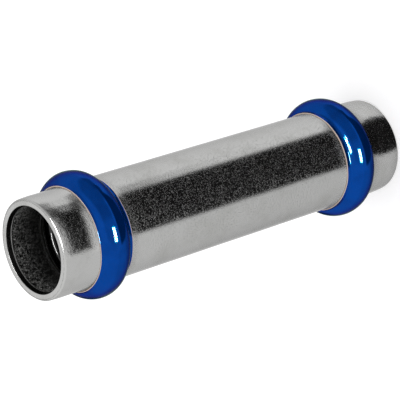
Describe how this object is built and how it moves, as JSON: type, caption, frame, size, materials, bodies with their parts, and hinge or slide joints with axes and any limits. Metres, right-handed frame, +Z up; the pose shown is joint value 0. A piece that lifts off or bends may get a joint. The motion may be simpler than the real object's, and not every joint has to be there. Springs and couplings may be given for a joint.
{
  "type": "press slip coupling",
  "caption": "Straight steel slip coupling for pressing onto thin tube: a plain barrel with a collar and a sealed bead at each end, each bead covered by a blue indicator film.",
  "frame": {"origin": "middle of the lower end face, where the coupling stands on its end", "axes": "+Z up along the bore, towards the upper end; the part is round, so X and Y may point any way about it"},
  "size_m": [0.023, 0.023, 0.0805],
  "materials": {
    "stainless_steel": "satin, fine grained, as formed and pickled",
    "seal_rubber": "smooth black, lightly greased",
    "indicator_film": "thin clear blue film, glossy"
  },
  "bodies": {
    "root": {"coupling_body": "stainless_steel", "lower_seal_ring": "seal_rubber", "upper_seal_ring": "seal_rubber", "lower_indicator_sleeve": "indicator_film", "upper_indicator_sleeve": "indicator_film"}
  },
  "joints": []
}
